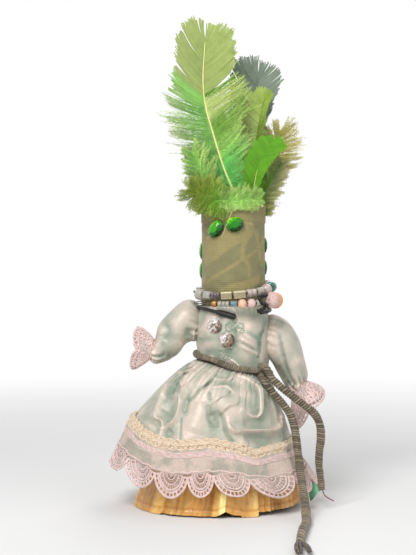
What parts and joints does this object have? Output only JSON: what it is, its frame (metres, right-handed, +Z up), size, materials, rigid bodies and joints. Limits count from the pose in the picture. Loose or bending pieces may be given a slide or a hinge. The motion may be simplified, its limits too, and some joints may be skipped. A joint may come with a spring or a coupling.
{
  "type": "cloth doll",
  "caption": "Handmade standing doll with a feather plume, damask head, glass eyes, strung beads, satin dress with lace and a tied cord belt.",
  "frame": {"origin": "centre of the base plug's underside, on the axis of the card tube", "axes": "+Z up along the tube, the doll faces -Y, +X is the doll's left"},
  "size_m": [0.1605, 0.2186, 0.3472],
  "materials": {
    "card": "matt",
    "stuffing": "matt",
    "damask": "woven",
    "green_glass": "polished",
    "crystal": "faceted",
    "satin": "satin",
    "gold_satin": "satin",
    "green_satin": "satin",
    "lace": "openwork",
    "gimp": "braided",
    "twine": "wound",
    "black_cord": "satin",
    "thread": "matt",
    "grey_glass": "frosted",
    "purple_glass": "glossy",
    "olive_glass": "polished",
    "blue_glass": "glossy",
    "gold_bead": "polished",
    "peach_bead": "glossy",
    "pink_bead": "glossy",
    "orange_bead": "glossy",
    "lime_feather": "barbed",
    "mint_feather": "downy",
    "green_feather": "barbed",
    "olive_feather": "downy",
    "grey_feather": "barbed"
  },
  "bodies": {
    "doll": {"card_tube": "card", "base_plug": "card", "head_stuffing": "stuffing", "head_cloth": "damask", "right_eye": "green_glass", "left_eye": "green_glass", "right_upper_side_gem": "green_glass", "right_lower_side_gem": "green_glass", "left_upper_side_gem": "green_glass", "left_lower_side_gem": "green_glass", "tall_lime_feather": "lime_feather", "front_mint_feather": "mint_feather", "right_olive_feather": "olive_feather", "left_green_feather": "green_feather", "left_grey_down_feather": "olive_feather", "left_lime_feather": "lime_feather", "right_pale_down_feather": "lime_feather", "left_yellow_down_feather": "olive_feather", "left_blue_grey_feather": "grey_feather", "back_green_down_feather": "green_feather", "petticoat": "gold_satin", "skirt": "satin", "gimp_braid": "gimp", "lace_flounce": "lace", "green_ribbon_end": "green_satin", "bodice": "satin", "upper_crystal": "crystal", "lower_crystal": "crystal", "black_neck_cord": "black_cord", "black_cord_tip": "black_cord", "belt_loop": "twine", "belt_knot": "twine", "belt_short_tail": "twine", "belt_long_tail": "twine"},
    "right_arm": {"right_sleeve": "satin", "right_sleeve_stuffing": "stuffing", "right_lace_cuff": "lace"},
    "left_arm": {"left_sleeve": "satin", "left_sleeve_stuffing": "stuffing", "left_lace_cuff": "lace"},
    "upper_strand": {"upper_strand_thread": "thread", "grey_round_bead": "grey_glass", "grey_tube_bead": "grey_glass", "purple_seed_bead": "purple_glass", "olive_square_bead": "olive_glass", "olive_long_square_bead": "olive_glass", "pale_tube_bead": "grey_glass", "clear_tube_bead": "grey_glass", "grey_large_round_bead": "grey_glass", "upper_strand_back_beads": "grey_glass"},
    "lower_strand": {"lower_strand_thread": "thread", "gold_bead": "gold_bead", "grey_small_tube_bead": "grey_glass", "blue_bead": "blue_glass", "peach_bead": "peach_bead", "pink_bead": "pink_bead", "dark_grey_bead": "purple_glass", "large_pink_bead": "pink_bead", "large_orange_bead": "orange_bead", "lower_strand_back_beads": "grey_glass"}
  },
  "joints": [
    {"name": "right_sleeve_swing", "type": "hinge", "parent": "doll", "child": "right_arm", "pos_m": [-0.0411, 0, 0.127], "axis": [0, 1, 0], "range_deg": [-25, 60]},
    {"name": "left_sleeve_swing", "type": "hinge", "parent": "doll", "child": "left_arm", "pos_m": [0.0401, 0, 0.118], "axis": [0, -1, 0], "range_deg": [0, 75]},
    {"name": "upper_strand_turn", "type": "hinge", "parent": "doll", "child": "upper_strand", "pos_m": [0, 0, 0.1546], "axis": [-0.079, -0.1353, 0.9876], "continuous": true},
    {"name": "lower_strand_turn", "type": "hinge", "parent": "doll", "child": "lower_strand", "pos_m": [0.0015, -0.0042, 0.1456], "axis": [-0.02, -0.03, 0.9994], "range_deg": [-10, 10]}
  ]
}
